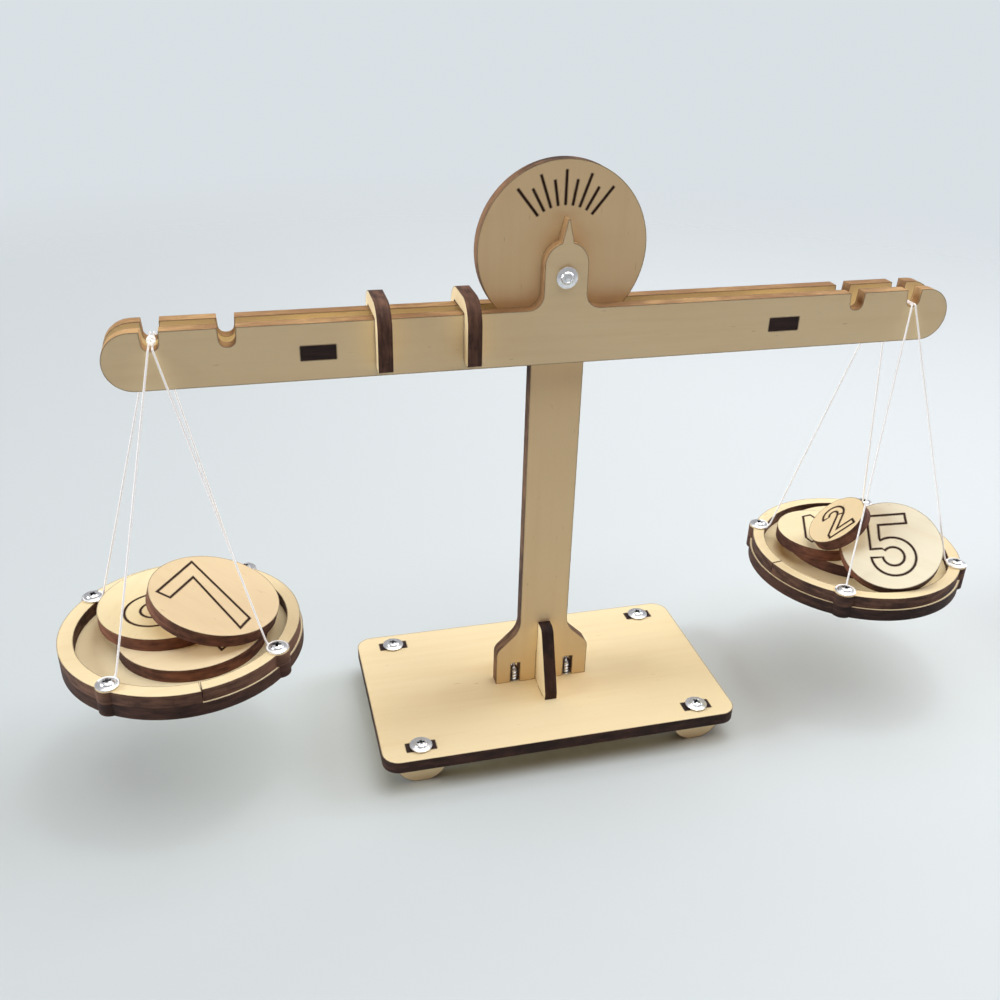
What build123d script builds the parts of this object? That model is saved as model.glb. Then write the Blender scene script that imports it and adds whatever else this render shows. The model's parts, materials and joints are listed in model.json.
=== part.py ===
from build123d import *
from math import cos, degrees, radians, sin, sqrt, tan
import os

# Plywood math balance: a stand with a dial, a two-plate beam with riders,
# two hanging pans and loose number discs.
# Millimetres. Origin on the table under the middle of the base, +X to the right
# along the beam, +Y to the back, +Z up. The pans hang level and the beam lies level.

# Sheet and clearances
ply = 3.0
fit_gap = 0.05
run_gap = 0.3
seat_gap = 0.05
cut_over = 1.0
least_edge = 0.001

# Base plate
base_length = 87.5
base_depth = 50.0
base_corner = 4.0

# Feet: half discs on edge, with a two-pronged tab through the base
foot_radius = 6.2
foot_drop = 6.0
foot_tab_width = 7.0
foot_inset_x = 9.25
foot_inset_y = 4.7

# Washer-head screws
thread_diameter = 2.3
thread_slot_gap = 0.05
flange_diameter = 4.6
flange_thickness = 0.6
dome_diameter = 2.8
dome_height = 0.7
recess_width = 0.5
recess_depth = 0.45
foot_screw_length = 5.2
post_screw_length = 8.0
pan_screw_length = 7.5
pivot_screw_length = 10.4

# Post with its dial head
post_width = 12.0
post_foot_width = 23.6
post_shoulder_height = 9.6
post_shoulder_round = 3.0
post_waist_round = 6.0
post_tab_width = 2.8
post_tab_middle = 3.8
post_screw_spacing = 13.8
post_screw_slot_height = 5.8
pivot_height = 105.0
dial_radius = 18.3
dial_rise = 4.8
tick_step_degrees = 9.7
ticks_each_side = 4
tick_inner_radius = 9.2
tick_short_radius = 14.4
tick_long_radius = 16.2
tick_width = 0.5
engraving_depth = 0.2

# Brace across the post's foot
brace_height = 17.4
brace_foot_width = 20.6
brace_top_width = 9.4
brace_heel_height = 2.0
brace_round = 2.0
brace_tab_width = 4.0
brace_tab_middle = 6.5

# Beam plates, measured down from the pivot
beam_length = 186.0
beam_depth = 12.0
beam_drop = 6.8
beam_end_round = 5.9
hump_width = 9.4
hump_rise = 2.5
hump_fillet = 3.2
pointer_width = 2.6
pointer_height = 11.8
pointer_tip_width = 0.4
pointer_root_sink = 0.35
notch_width = 3.0
notch_depth = 3.9
notch_flare = 0.3
outer_notch_x = 83.5
inner_notch_x = 69.0

# Spacers between the plates
spacer_x = 51.5
spacer_tenon_width = 7.1
spacer_body_width = 12.0
spacer_drop = 6.2

# Riders on the beam's left arm
rider_wall = 3.5
rider_bridge = 3.2
rider_leg_length = 10.2
rider_round = 5.4
rider_toe_round = 0.6
inner_rider_x = -20.1
outer_rider_x = -38.5

# Pans
pan_radius = 26.6
ring_width = 2.9
ring_inset = 0.5
ring_joint_gap = 0.2
pan_screw_inset = 1.7
pan_ear_radius = 2.6
pan_turn_degrees = -36.0
pan_drop = 66.4
pan_shift = 1.5

# Strings
string_diameter = 0.45
string_spacing = 0.8
string_plate_gap = 0.3
yoke_gap = 0.25
knot_diameter = 2.2

# Number discs: the largest lies in a pan with room, and the area follows the number
largest_disc_room = 6.0
largest_number = 10
digit_height_share = 0.7
digit_line = 0.5

# Loads on the pans: places as shares of the ring's inner radius, from the pan's middle
disc_9_x_share = 0.0905
disc_9_y_share = -0.0948
disc_8_x_share = -0.125
disc_8_y_share = 0.2181
disc_7_x_share = 0.3362
disc_7_y_share = -0.0582
disc_7_tilt_degrees = 16.3
disc_7_rest = 0.47
disc_10_x_share = 0.0862
disc_10_y_share = 0.1724
disc_4_x_share = -0.3621
disc_4_y_share = 0.1767
disc_5_x_share = 0.0474
disc_5_y_share = -0.556
disc_5_tilt_degrees = 33.4
disc_5_rest = 0.87
disc_2_x_share = -0.4289
disc_2_y_share = -0.1832
disc_2_tilt_degrees = 41.3
disc_2_rest = 0.45

# Headings of the digits' tops and of the leaning discs' high edges
nine_heading = 140
eight_heading = 50
seven_heading = 150
seven_rise_heading = 161
ten_heading = 70
four_heading = 100
five_heading = 73
five_rise_heading = 56
two_heading = 76
two_rise_heading = -15

# Digits as solid shapes one unit high, centred, from shares of their height
stroke_share = 0.16
seven_shares = [(-0.36, 0.5), (0.36, 0.5), (-0.13, -0.5), (-0.34, -0.5), (0.12, 0.34), (-0.36, 0.34)]
four_shares = [
    (0.2, 0.5), (0.2, -0.12), (0.34, -0.12), (0.34, -0.28), (0.2, -0.28), (0.2, -0.5),
    (0.03, -0.5), (0.03, -0.28), (-0.4, -0.28), (-0.4, -0.13), (0.04, 0.5),
]
four_hole_shares = [(0.03, 0.23), (0.03, -0.12), (-0.2, -0.12)]
two_foot_shares = [
    (-0.33, -0.5), (0.31, -0.5), (0.31, -0.34), (-0.1, -0.34), (0.22, 0.06), (0.1, 0.16), (-0.33, -0.37),
]
five_frame_shares = [
    (-0.27, 0.5), (0.27, 0.5), (0.27, 0.34), (-0.13, 0.34), (-0.15, 0.12), (-0.1, -0.05), (-0.3, -0.05),
]
nine_tail_shares = [(0.31, 0.19), (0.31, 0.1), (0.02, -0.5), (-0.17, -0.5), (0.08, 0.0)]
one_shares = [(-0.36, 0.5), (-0.2, 0.5), (-0.2, -0.5), (-0.36, -0.5)]
big_lobe_share = 0.31
small_lobe_share = 0.27
five_bowl_start_degrees = 135
five_bowl_sweep_degrees = -315
two_bowl_start_degrees = 175
two_bowl_sweep_degrees = -215

# Heights and depths that follow
foot_spacing_x = base_length - 2 * foot_inset_x
foot_spacing_y = base_depth - 2 * foot_inset_y
base_bottom = foot_drop
base_top = base_bottom + ply
pivot_z = base_top + pivot_height
plate_gap = ply + 2 * run_gap
stack_half = plate_gap / 2 + ply
beam_top_z = pivot_z - beam_drop
beam_bottom_z = beam_top_z - beam_depth
notch_bottom_z = beam_top_z - notch_depth
string_radius = string_diameter / 2
hang_z = notch_bottom_z + string_radius + yoke_gap
string_exit_y = stack_half + string_plate_gap + string_radius
ring_top_z = hang_z - pan_drop
pan_top_z = ring_top_z - ply
pan_bottom_z = pan_top_z - ply
ring_inner_radius = pan_radius - ring_inset - ring_width
pan_screw_circle = pan_radius - pan_screw_inset
disc_one_radius = (ring_inner_radius - largest_disc_room) / sqrt(largest_number)
spacer_z = beam_top_z - spacer_drop
disc_9_x = ring_inner_radius * disc_9_x_share
disc_9_y = ring_inner_radius * disc_9_y_share
disc_8_x = ring_inner_radius * disc_8_x_share
disc_8_y = ring_inner_radius * disc_8_y_share
disc_7_x = ring_inner_radius * disc_7_x_share
disc_7_y = ring_inner_radius * disc_7_y_share
disc_10_x = ring_inner_radius * disc_10_x_share
disc_10_y = ring_inner_radius * disc_10_y_share
disc_4_x = ring_inner_radius * disc_4_x_share
disc_4_y = ring_inner_radius * disc_4_y_share
disc_5_x = ring_inner_radius * disc_5_x_share
disc_5_y = ring_inner_radius * disc_5_y_share
disc_2_x = ring_inner_radius * disc_2_x_share
disc_2_y = ring_inner_radius * disc_2_y_share

nodes = {}


def along(direction):
    """A unit vector at this heading in the floor plane."""
    return Vector(cos(radians(direction)), sin(radians(direction)), 0)


def outline(corners):
    """A closed flat face from corners of x, y and rounding."""
    edges = []
    count = len(corners)
    joins = []
    for index, (x, y, rounding) in enumerate(corners):
        before = Vector(*corners[index - 1][:2])
        after = Vector(*corners[(index + 1) % count][:2])
        corner = Vector(x, y)
        if rounding == 0:
            joins.append((corner, corner, corner))
            continue
        back = (before - corner).normalized()
        ahead = (after - corner).normalized()
        middle = (back + ahead).normalized()
        half_angle = radians(back.get_angle(ahead)) / 2
        reach = rounding / tan(half_angle)
        nearest = corner + middle * (rounding / sin(half_angle) - rounding)
        joins.append((corner + back * reach, nearest, corner + ahead * reach))
    for index, (start, middle, end) in enumerate(joins):
        if (end - start).length > 0:
            edges.append(ThreePointArc(start, middle, end))
        next_start = joins[(index + 1) % count][0]
        if (next_start - end).length > least_edge:
            edges.append(Line(end, next_start))
    return make_face(edges)


def mirrored(half):
    """Corners of a symmetric outline from its right half, listed from the bottom up."""
    left = [(-x, y, rounding) for x, y, rounding in reversed(half) if x > 0]
    return half + left


def sheet_xz(face, middle_y):
    """A sheet-thick piece cut to a face drawn in X and Z."""
    return Plane.XZ.offset(-middle_y) * extrude(face, ply / 2, both=True)


def sheet_yz(face, middle_x):
    """A sheet-thick piece cut to a face drawn in Y and Z."""
    return Plane.YZ.offset(middle_x) * extrude(face, ply / 2, both=True)


def sheet_xy(face, bottom_z):
    """A sheet-thick piece lying flat on a height."""
    return Pos(0, 0, bottom_z) * extrude(face, ply)


def rod(start, end, radius):
    """A plain round bar between two points."""
    start = Vector(*start)
    path = Vector(*end) - start
    return Plane(origin=start, z_dir=path) * Cylinder(
        radius, path.length, align=(Align.CENTER, Align.CENTER, Align.MIN)
    )


def screw(length):
    """A washer-head screw standing on z = 0, its thread going down."""
    upward = (Align.CENTER, Align.CENTER, Align.MIN)
    downward = (Align.CENTER, Align.CENTER, Align.MAX)
    tip_length = thread_diameter / 2
    shank = length - tip_length
    body = Cylinder(thread_diameter / 2, shank, align=downward)
    body += Pos(0, 0, -shank) * Cone(
        thread_diameter / 8, thread_diameter / 2, tip_length, align=downward
    )
    body += Cylinder(flange_diameter / 2, flange_thickness, align=upward)
    sphere_radius = ((dome_diameter / 2) ** 2 + dome_height ** 2) / (2 * dome_height)
    ball = Pos(0, 0, flange_thickness + dome_height - sphere_radius) * Sphere(sphere_radius)
    cap = Pos(0, 0, flange_thickness) * Cylinder(dome_diameter / 2, dome_height, align=upward)
    body += cap & ball
    slot_z = flange_thickness + dome_height - recess_depth
    for turn in (0, 90):
        slot = Box(dome_diameter * 2 / 3, recess_width, dome_height, align=upward)
        body -= Pos(0, 0, slot_z) * Rot(0, 0, turn) * slot
    return body


def foot_places():
    """The four feet's names and middles."""
    for end, y in (("front", -foot_spacing_y / 2), ("rear", foot_spacing_y / 2)):
        for side, x in (("left", -foot_spacing_x / 2), ("right", foot_spacing_x / 2)):
            yield end + "_" + side, x, y


def make_base():
    plate = sheet_xy(RectangleRounded(base_length, base_depth, base_corner), base_bottom)
    over = ply + 2 * cut_over
    for _, x, y in foot_places():
        slot = Box(foot_tab_width + 2 * fit_gap, ply + 2 * fit_gap, over)
        plate -= Pos(x, y, base_bottom + ply / 2) * slot
    for side in (-1, 1):
        post_slot = Box(post_tab_width + 2 * fit_gap, ply + 2 * fit_gap, over)
        plate -= Pos(side * post_tab_middle, 0, base_bottom + ply / 2) * post_slot
        brace_slot = Box(ply + 2 * fit_gap, brace_tab_width + 2 * fit_gap, over)
        plate -= Pos(0, side * brace_tab_middle, base_bottom + ply / 2) * brace_slot
        hole = Cylinder(thread_diameter / 2 + thread_slot_gap, over)
        plate -= Pos(side * post_screw_spacing / 2, 0, base_bottom + ply / 2) * hole
    return plate


def make_foot(x, y):
    disc = Pos(x, base_bottom) * Circle(foot_radius)
    below = Pos(x, base_bottom - foot_drop / 2) * Rectangle(2 * foot_radius, foot_drop)
    tab = Pos(x, base_bottom + ply / 2) * Rectangle(foot_tab_width, ply)
    slot_depth = foot_screw_length + cut_over / 2
    slot = Pos(x, base_top - slot_depth / 2) * Rectangle(
        thread_diameter + 2 * thread_slot_gap, slot_depth
    )
    return sheet_xz((disc & below) + tab - slot, y)


def make_post():
    foot = mirrored([
        (post_foot_width / 2, base_top, 0),
        (post_foot_width / 2, base_top + post_shoulder_height, post_shoulder_round),
        (
            post_width / 2,
            base_top + post_shoulder_height + (post_foot_width - post_width) / 2,
            post_waist_round,
        ),
        (post_width / 2, pivot_z, 0),
    ])
    face = outline(foot)
    face += Pos(0, pivot_z + dial_rise) * Circle(dial_radius)
    face -= Pos(0, pivot_z) * Circle(thread_diameter / 2 + thread_slot_gap)
    lap_height = brace_height / 2 + fit_gap
    face -= Pos(0, base_top + lap_height / 2) * Rectangle(ply + 2 * fit_gap, lap_height)
    for side in (-1, 1):
        face -= Pos(side * post_screw_spacing / 2, base_top + post_screw_slot_height / 2) * Rectangle(
            thread_diameter + 2 * thread_slot_gap, post_screw_slot_height
        )
        face += Pos(side * post_tab_middle, base_bottom + ply / 2) * Rectangle(post_tab_width, ply)
    post = sheet_xz(face, 0)
    for step in range(-ticks_each_side, ticks_each_side + 1):
        outer = tick_long_radius if step % 2 == 0 else tick_short_radius
        tick = Box(tick_width, engraving_depth, outer - tick_inner_radius)
        middle = Pos(0, 0, (outer + tick_inner_radius) / 2)
        place = Pos(0, -ply / 2 + engraving_depth / 2, pivot_z + dial_rise)
        post -= place * Rot(0, step * tick_step_degrees, 0) * middle * tick
    return post


def make_brace():
    half = [
        (brace_foot_width / 2, base_top, 0),
        (brace_foot_width / 2, base_top + brace_heel_height, brace_round),
        (brace_top_width / 2, base_top + brace_height, brace_round),
    ]
    face = outline(mirrored(half))
    lap_height = brace_height / 2
    face -= Pos(0, base_top + brace_height - lap_height / 2) * Rectangle(
        ply + 2 * fit_gap, lap_height
    )
    for side in (-1, 1):
        face += Pos(side * brace_tab_middle, base_bottom + ply / 2) * Rectangle(brace_tab_width, ply)
    return sheet_yz(face, 0)


def beam_face():
    """Front view of one beam plate: bar, hump, pointer, notches and tenon slots."""
    half_length = beam_length / 2
    bar = mirrored([
        (half_length, beam_bottom_z, beam_end_round),
        (half_length, beam_top_z, beam_end_round),
        (hump_width / 2, beam_top_z, hump_fillet),
        (hump_width / 2, pivot_z + hump_rise, 0),
    ])
    face = outline(bar) + Pos(0, pivot_z + hump_rise) * Circle(hump_width / 2)
    face += outline(mirrored([
        (pointer_width / 2, pivot_z + hump_rise, 0),
        (pointer_width / 2, pivot_z + hump_rise + hump_width / 2 - pointer_root_sink, 0),
        (pointer_tip_width / 2, pivot_z + pointer_height, 0),
    ]))
    face -= Pos(0, pivot_z) * Circle(thread_diameter / 2)
    for side in (-1, 1):
        for x in (outer_notch_x, inner_notch_x):
            face -= Pos(side * x, 0) * outline(mirrored([
                (notch_width / 2, notch_bottom_z, notch_width / 2 - seat_gap),
                (notch_width / 2 + notch_flare, beam_top_z, 0),
                (notch_width / 2 + notch_flare + cut_over, beam_top_z + cut_over, 0),
            ]))
        face -= Pos(side * spacer_x, spacer_z) * Rectangle(
            spacer_tenon_width + 2 * fit_gap, ply + 2 * fit_gap
        )
    return face


def make_spacer(x):
    body = Rectangle(spacer_body_width, plate_gap)
    tenons = Rectangle(spacer_tenon_width, 2 * stack_half)
    return Pos(x, 0, 0) * sheet_xy(body + tenons, spacer_z - ply / 2)


def make_rider(x):
    inner = stack_half + run_gap
    outer = inner + rider_wall
    saddle_z = beam_top_z + run_gap
    toe_z = beam_top_z - rider_leg_length
    face = outline(mirrored([
        (inner, saddle_z, 0),
        (inner, toe_z, rider_toe_round),
        (outer, toe_z, rider_toe_round),
        (outer, saddle_z + rider_bridge, rider_round),
    ]))
    return sheet_yz(face, x)


def pan_screw_spots(turn):
    """The four screw places on a pan, from its middle."""
    return [along(turn + quarter * 90) * pan_screw_circle for quarter in range(4)]


def pan_face(radius, spots):
    face = Circle(radius)
    for spot in spots:
        face += Pos(spot.X, spot.Y) * Circle(pan_ear_radius)
    for spot in spots:
        face -= Pos(spot.X, spot.Y) * Circle(thread_diameter / 2 + thread_slot_gap)
    return face


def ring_half(spots, inset, heading):
    """Half of the rim, on the side that the heading points to."""
    face = pan_face(pan_radius - inset, spots) - Circle(ring_inner_radius)
    reach = pan_radius + pan_ear_radius
    side = Pos(reach / 2 + ring_joint_gap / 2, 0) * Rectangle(reach, 2 * reach)
    return face & (Rot(0, 0, heading) * side)


def string_ends(notch_x, pan_x, spot):
    """Start at the notch and end beside the screw, for the string to this spot."""
    side_y = 1 if spot.Y > 0 else -1
    side_x = 1 if spot.X > 0 else -1
    start = Vector(notch_x + side_x * string_spacing / 2, side_y * string_exit_y, hang_z)
    screw_place = Vector(pan_x + spot.X, spot.Y, ring_top_z)
    inward = Vector(-spot.X, -spot.Y, 0).normalized()
    beside = flange_diameter / 2 + string_radius + seat_gap
    end = screw_place + inward * beside + Vector(0, 0, string_radius + seat_gap)
    run = (end - start).normalized()
    return start + run * (string_radius + seat_gap), end


def make_yoke(notch_x):
    """Two strands lying through the notches, with a knot between the plates."""
    yoke = Pos(notch_x, 0, hang_z + string_radius) * Sphere(knot_diameter / 2)
    for side in (-1, 1):
        x = notch_x + side * string_spacing / 2
        yoke += rod((x, -string_exit_y, hang_z), (x, string_exit_y, hang_z), string_radius)
        for end in (-1, 1):
            yoke += Pos(x, end * string_exit_y, hang_z) * Sphere(string_radius)
    return yoke


def add_pan(name, side, quarter_turn):
    notch_x = side * outer_notch_x
    pan_x = notch_x + side * pan_shift
    turn = pan_turn_degrees
    spots = pan_screw_spots(turn)
    place = Pos(pan_x, 0, 0)
    nodes[name + "_pan_plate"] = place * sheet_xy(pan_face(pan_radius, spots), pan_bottom_z)
    joint_heading = turn + 45 + quarter_turn
    inner = ring_half(spots, ring_inset if side > 0 else 0, joint_heading + 180)
    outer = ring_half(spots, ring_inset, joint_heading)
    nodes[name + "_pan_ring_half_1"] = place * sheet_xy(inner, pan_top_z)
    nodes[name + "_pan_ring_half_2"] = place * sheet_xy(outer, pan_top_z)
    screws = [
        Pos(pan_x + spot.X, spot.Y, ring_top_z) * screw(pan_screw_length) for spot in spots
    ]
    nodes[name + "_pan_screws"] = Compound(children=screws)
    nodes[name + "_pan_yoke"] = make_yoke(notch_x)
    names = ("front_right", "rear_right", "rear_left", "front_left")
    for corner, spot in zip(names, spots):
        start, end = string_ends(notch_x, pan_x, spot)
        nodes[name + "_pan_string_" + corner] = rod(start, end, string_radius)
    return pan_x


def share_face(shares, height, grow):
    """A straight-sided shape from shares of the digit's height, its edges moved out."""
    corners = [Vector(x * height, y * height) for x, y in shares]
    turning = 0
    for index, corner in enumerate(corners):
        turning += corners[index - 1].X * corner.Y - corner.X * corners[index - 1].Y
    side = 1 if turning > 0 else -1
    moved = []
    for index, corner in enumerate(corners):
        back = (corner - corners[index - 1]).normalized()
        ahead = (corners[(index + 1) % len(corners)] - corner).normalized()
        first = Vector(back.Y, -back.X) * side
        second = Vector(ahead.Y, -ahead.X) * side
        moved.append(corner + (first + second) * (grow / (1 + first.dot(second))))
    return make_face(Polyline(moved, close=True))


def arc_band(radius_share, start, sweep, height, grow):
    """A stroke that follows part of a circle about the origin, its edges moved out."""
    outer = radius_share * height + grow
    inner = (radius_share - stroke_share) * height - grow
    over = degrees(grow / (radius_share * height)) * (1 if sweep > 0 else -1)
    points = []
    for reach, order in ((outer, (0, 0.5, 1)), (inner, (1, 0.5, 0))):
        turns = [radians(start - over + (sweep + 2 * over) * part) for part in order]
        points.append([(reach * cos(turn), reach * sin(turn)) for turn in turns])
    edges = [ThreePointArc(*points[0]), Line(points[0][2], points[1][0])]
    edges += [ThreePointArc(*points[1]), Line(points[1][2], points[0][0])]
    return make_face(edges)


def digit_face(number, height, grow):
    """The solid shape of a digit, its edges moved out by a distance."""
    upper_y = (0.5 - small_lobe_share) * height
    lower_y = (big_lobe_share - 0.5) * height
    if number == 2:
        hook = arc_band(small_lobe_share, two_bowl_start_degrees, two_bowl_sweep_degrees, height, grow)
        return Pos(0, upper_y) * hook + share_face(two_foot_shares, height, grow)
    if number == 4:
        return share_face(four_shares, height, grow) - share_face(four_hole_shares, height, -grow)
    if number == 5:
        bowl = arc_band(big_lobe_share, five_bowl_start_degrees, five_bowl_sweep_degrees, height, grow)
        return Pos(0, lower_y) * bowl + share_face(five_frame_shares, height, grow)
    if number == 7:
        return share_face(seven_shares, height, grow)
    if number == 8:
        body = Pos(0, lower_y) * Circle(big_lobe_share * height + grow)
        body += Pos(0, upper_y) * Circle(small_lobe_share * height + grow)
        body -= Pos(0, lower_y) * Circle((big_lobe_share - stroke_share) * height - grow)
        return body - Pos(0, upper_y) * Circle((small_lobe_share - stroke_share) * height - grow)
    if number == 9:
        body = Pos(0, -lower_y) * Circle(big_lobe_share * height + grow)
        body += share_face(nine_tail_shares, height, grow)
        return body - Pos(0, -lower_y) * Circle((big_lobe_share - stroke_share) * height - grow)
    middle_x = small_lobe_share * height / 2
    zero = Ellipse(small_lobe_share * height + grow, height / 2 + grow)
    zero -= Ellipse(
        (small_lobe_share - stroke_share) * height - grow, (0.5 - stroke_share) * height - grow
    )
    return share_face(one_shares, height, grow) + Pos(middle_x, 0) * zero


def disc_radius(number):
    return disc_one_radius * sqrt(number)


def make_disc(number, heading):
    """A disc with its top face on z = 0, its digit's top towards the heading."""
    radius = disc_radius(number)
    height = 2 * radius * digit_height_share
    disc = Cylinder(radius, ply, align=(Align.CENTER, Align.CENTER, Align.MAX))
    line = digit_face(number, height, digit_line / 2) - digit_face(number, height, -digit_line / 2)
    groove = Pos(0, 0, -engraving_depth) * extrude(line, engraving_depth)
    return Rot(0, 0, heading - 90) * (disc - groove)


def lay_disc(name, number, pan_x, place, bottom_z, digit_heading, rise_heading=0, tilt=0):
    """Put a disc down with its lowest point on a height, rising towards a heading."""
    radius = disc_radius(number)
    lean = radians(tilt)
    top_z = bottom_z + radius * sin(lean) + ply * cos(lean)
    disc = make_disc(number, digit_heading - rise_heading)
    turned = Rot(0, 0, rise_heading) * Rot(0, -tilt, 0) * disc
    nodes[name] = Pos(pan_x + place[0], place[1], top_z) * turned


def add_left_loads(pan_x):
    first = pan_top_z + seat_gap
    second = first + ply + seat_gap
    lay_disc("disc_9", 9, pan_x, (disc_9_x, disc_9_y), first, nine_heading)
    lay_disc("disc_8", 8, pan_x, (disc_8_x, disc_8_y), second, eight_heading)
    lay_disc(
        "disc_7", 7, pan_x, (disc_7_x, disc_7_y), ring_top_z + disc_7_rest,
        seven_heading, seven_rise_heading, disc_7_tilt_degrees,
    )


def add_right_loads(pan_x):
    first = pan_top_z + seat_gap
    second = first + ply + seat_gap
    third = second + ply + disc_2_rest
    lay_disc("disc_10", 10, pan_x, (disc_10_x, disc_10_y), first, ten_heading)
    lay_disc("disc_4", 4, pan_x, (disc_4_x, disc_4_y), second, four_heading)
    lay_disc(
        "disc_5", 5, pan_x, (disc_5_x, disc_5_y), first + disc_5_rest,
        five_heading, five_rise_heading, disc_5_tilt_degrees,
    )
    lay_disc(
        "disc_2", 2, pan_x, (disc_2_x, disc_2_y), third,
        two_heading, two_rise_heading, disc_2_tilt_degrees,
    )


def add_stand():
    nodes["base_plate"] = make_base()
    screws = []
    for name, x, y in foot_places():
        nodes[name + "_foot"] = make_foot(x, y)
        screws.append(Pos(x, y, base_top) * screw(foot_screw_length))
    nodes["foot_screws"] = Compound(children=screws)
    nodes["post"] = make_post()
    nodes["post_brace"] = make_brace()
    nodes["post_screws"] = Compound(children=[
        Pos(side * post_screw_spacing / 2, 0, base_bottom) * Rot(180, 0, 0) * screw(post_screw_length)
        for side in (-1, 1)
    ])


def add_beam():
    plate = beam_face()
    middle_y = plate_gap / 2 + ply / 2
    nodes["beam_front_plate"] = sheet_xz(plate, -middle_y)
    nodes["beam_rear_plate"] = sheet_xz(plate, middle_y)
    nodes["left_spacer"] = make_spacer(-spacer_x)
    nodes["right_spacer"] = make_spacer(spacer_x)
    nodes["pivot_screw"] = Pos(0, -stack_half, pivot_z) * Rot(90, 0, 0) * screw(pivot_screw_length)
    nodes["inner_rider"] = make_rider(inner_rider_x)
    nodes["outer_rider"] = make_rider(outer_rider_x)


os.makedirs("parts", exist_ok=True)
add_stand()
add_beam()
add_left_loads(add_pan("left", -1, 0))
add_right_loads(add_pan("right", 1, -90))
for node_name, shape in nodes.items():
    export_step(shape, "parts/" + node_name + ".step")
print(len(nodes), "nodes; hinge height", round(hang_z, 2), "pivot height", round(pivot_z, 2))
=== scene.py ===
import json
import math

import bmesh
import bpy
from mathutils import Matrix, Vector

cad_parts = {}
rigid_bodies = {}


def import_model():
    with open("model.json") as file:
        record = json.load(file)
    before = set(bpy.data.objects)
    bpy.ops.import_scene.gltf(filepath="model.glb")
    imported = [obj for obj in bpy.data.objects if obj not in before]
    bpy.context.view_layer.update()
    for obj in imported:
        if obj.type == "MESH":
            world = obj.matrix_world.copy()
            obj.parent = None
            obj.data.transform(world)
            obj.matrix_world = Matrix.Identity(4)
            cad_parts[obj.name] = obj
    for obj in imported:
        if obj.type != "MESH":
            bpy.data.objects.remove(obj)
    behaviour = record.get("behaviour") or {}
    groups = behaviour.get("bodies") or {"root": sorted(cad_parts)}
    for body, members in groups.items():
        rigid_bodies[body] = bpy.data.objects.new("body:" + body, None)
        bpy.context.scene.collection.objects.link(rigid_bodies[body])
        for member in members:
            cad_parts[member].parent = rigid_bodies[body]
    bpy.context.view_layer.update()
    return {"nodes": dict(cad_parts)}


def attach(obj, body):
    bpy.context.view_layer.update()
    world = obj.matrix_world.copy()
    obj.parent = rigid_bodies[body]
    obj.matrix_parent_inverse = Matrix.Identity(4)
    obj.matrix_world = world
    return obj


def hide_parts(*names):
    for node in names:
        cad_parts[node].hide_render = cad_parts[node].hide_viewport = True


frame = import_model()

bl_info = {
    "name": "Math balance",
    "version": (1, 0, 0),
    "blender": (4, 5, 0),
    "location": "View3D > Sidebar > Math balance",
    "description": (
        "Finishes a plywood math balance: burnt-edge plywood, screws, threads and a plain studio"),
    "category": "Object",
}

# Places on the balance, in metres, as the cut sheets have them
SHEET = 0.003
SIDES = {"left": -1, "right": 1}
BASE_TOP_Z = 0.009
BASE_BOTTOM_Z = 0.006
FOOT_X = 0.0345
FOOT_Y = 0.0203
POST_SCREW_X = 0.0069
PIVOT_SCREW = Vector((0.0, -0.0048, 0.114))
RING_TOP_Z = 0.037375
PAN_X = 0.085
PAN_SCREW_CIRCLE = 0.0249
PAN_SCREW_TURNS = {"front_right": -36, "rear_right": 54, "rear_left": 144, "front_left": 234}
NOTCH_X = 0.0835
NOTCH_Z = 0.103775
NOTCH_EXIT_Y = 0.005325

# Threads: their start under a screw, the bends by it and by the notch, and the strands' height
THREAD_START_IN = 0.0019
THREAD_START_UP = 0.00024
THREAD_BESIDE_SCREW = 0.002575
THREAD_UP = 0.000275
LOW_BEND = (0.0002, 0.0029)
HIGH_BEND = (0.0027, 0.0003)
STRAND_SPACING = 0.0008
STRAND_Z = NOTCH_Z + 0.0001
STRAND_BEND_Y = 0.0042

# Coils of thread: radius, turns and rise; then their heights and turns in place
COILS = {
    "winding": (0.00222, 1.35, 0.0003),
    "coil": (0.00068, 3.0, 0.0013),
    "lock": (0.00060, 1.3, 0.0005),
}
WINDING_UP = 0.0004
WINDING_TURN = 150
KNOT_UP = 0.00012
BIGHT_UP = 0.0002
BIGHT_TILT = 55

# Screws: lengths under the head, the spiral on the core, the point and the head's undercut
SCREW_LENGTHS = {"foot": 0.0052, "post": 0.008, "pivot": 0.0104, "pan": 0.0075}
SCREW_TURN = 37
SPIRAL_DEPTH = 0.00028
SPIRAL_RADIUS = 0.00032
SPIRAL_OUT = 0.00004
SPIRAL_STEPS = 20
POINT_LENGTH = 0.0016
POINT_WIDTH = 0.12
POINT_STEPS = 8
POINT_NARROWING = 0.82
HEAD_UNDERCUT = 0.00012
# Outlines of the heads from the washer up, as shares of the head's radius and height
HEAD_OUTLINE = (
    (0.93, 0.23), (1, 0.30), (1, 0.40), (0.95, 0.46), (0.66, 0.50), (0.61, 0.54),
    (0.585, 0.66), (0.50, 0.83),
)
DOME_OUTLINE = ((0.34, 0.95), (0.16, 0.995), (0.03, 1))
DIMPLE_OUTLINE = ((0.42, 0.9), (0.36, 0.89), (0.29, 0.76), (0.16, 0.8), (0.03, 0.82))
# Bars that cut the cross: length as a share of the head's radius, depth, height and taper
CROSS_REACH = 1.05
CROSS_DEPTH = 0.0014
CROSS_UP = 0.0001
CROSS_TAPER = (0.45, 0.55, 1)

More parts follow.
